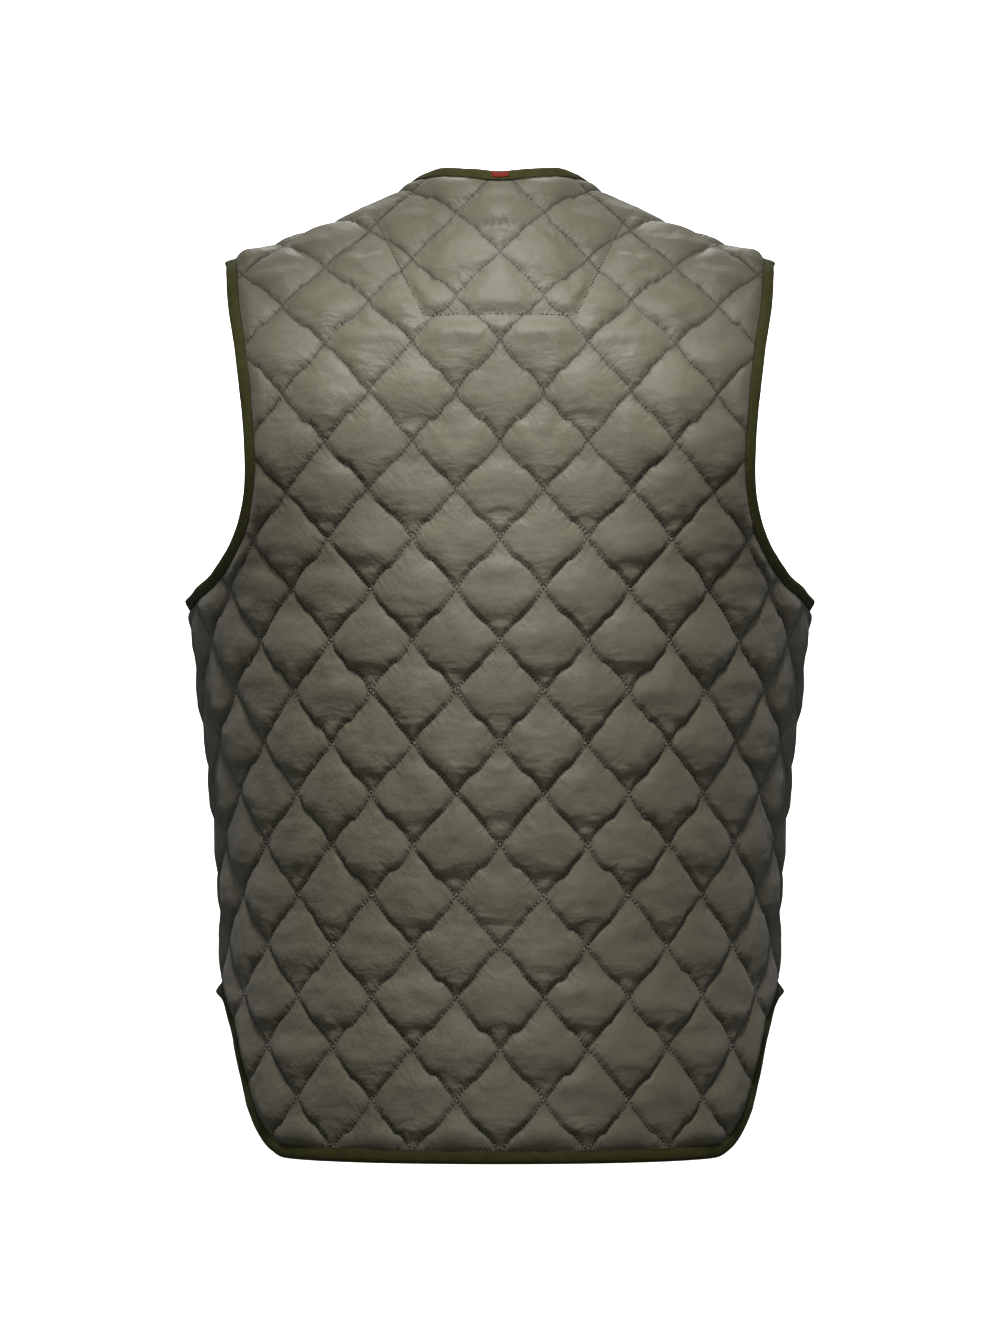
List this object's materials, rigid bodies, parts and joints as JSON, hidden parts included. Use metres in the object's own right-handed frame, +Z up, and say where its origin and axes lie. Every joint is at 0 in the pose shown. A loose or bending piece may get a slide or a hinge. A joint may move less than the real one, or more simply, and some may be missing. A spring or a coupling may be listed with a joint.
{
  "type": "quilted vest",
  "caption": "Sleeveless diamond-quilted vest with bound edges, open front, deep armholes and a dropped curved tail, in the hollow form it takes when worn.",
  "frame": {"origin": "midway between the middles of the two shoulders, where the wearer carries the vest", "axes": "+Z up, the wearer faces -Y, the wearer's left is +X"},
  "size_m": [0.4478, 0.2856, 0.7036],
  "materials": {
    "quilt": "smooth grey-olive nylon, diamond quilted over light padding",
    "binding": "matt olive woven tape",
    "tab": "plain red woven tape"
  },
  "bodies": {
    "root": {"back": "quilt", "front_left": "quilt", "front_right": "quilt", "binding_armhole_left": "binding", "binding_armhole_right": "binding", "binding_neck": "binding", "binding_tail": "binding", "binding_front_left": "binding", "binding_front_right": "binding", "neck_tab": "tab", "neck_loop": "quilt"}
  },
  "joints": []
}
